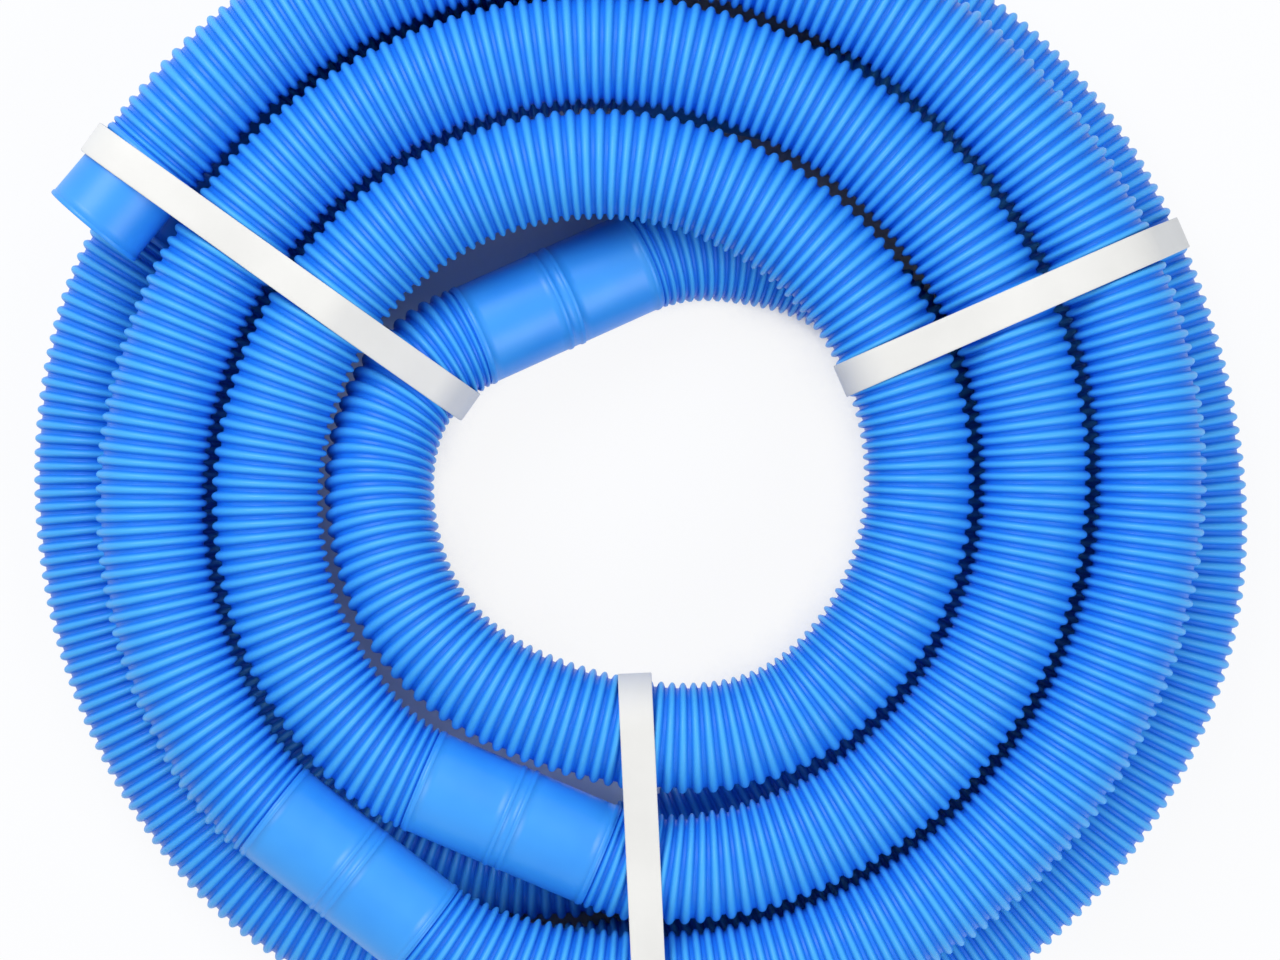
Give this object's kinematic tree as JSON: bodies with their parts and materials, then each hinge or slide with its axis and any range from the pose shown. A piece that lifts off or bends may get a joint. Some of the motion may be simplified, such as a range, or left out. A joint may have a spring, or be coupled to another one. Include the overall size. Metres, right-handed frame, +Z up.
{
  "type": "pool vacuum hose",
  "caption": "Ribbed suction hose with smooth moulded cuffs, wound into a flat coil and tied with flat straps.",
  "frame": {"origin": "middle of the coil's footprint, on the plane that it rests on", "axes": "+Z up through the coil's open centre; the outer end's mouth is at -X, +Y and points towards -X, -Y"},
  "size_m": [0.4841, 0.5067, 0.0892],
  "materials": {
    "ribbed_hose": "satin blow-moulded polyethylene",
    "smooth_cuff": "smooth satin moulded polyethylene",
    "strap": "soft white flat band"
  },
  "bodies": {
    "root": {"ribbed_section_1": "ribbed_hose", "ribbed_section_2": "ribbed_hose", "ribbed_section_3": "ribbed_hose", "ribbed_section_4": "ribbed_hose", "ribbed_section_5": "ribbed_hose", "ribbed_section_6": "ribbed_hose", "double_cuff_1": "smooth_cuff", "double_cuff_2": "smooth_cuff", "double_cuff_3": "smooth_cuff", "double_cuff_4": "smooth_cuff", "double_cuff_5": "smooth_cuff", "outer_end_cuff": "smooth_cuff", "lower_end_cuff": "smooth_cuff", "upper_left_strap": "strap", "right_strap": "strap", "lower_strap": "strap"}
  },
  "joints": []
}
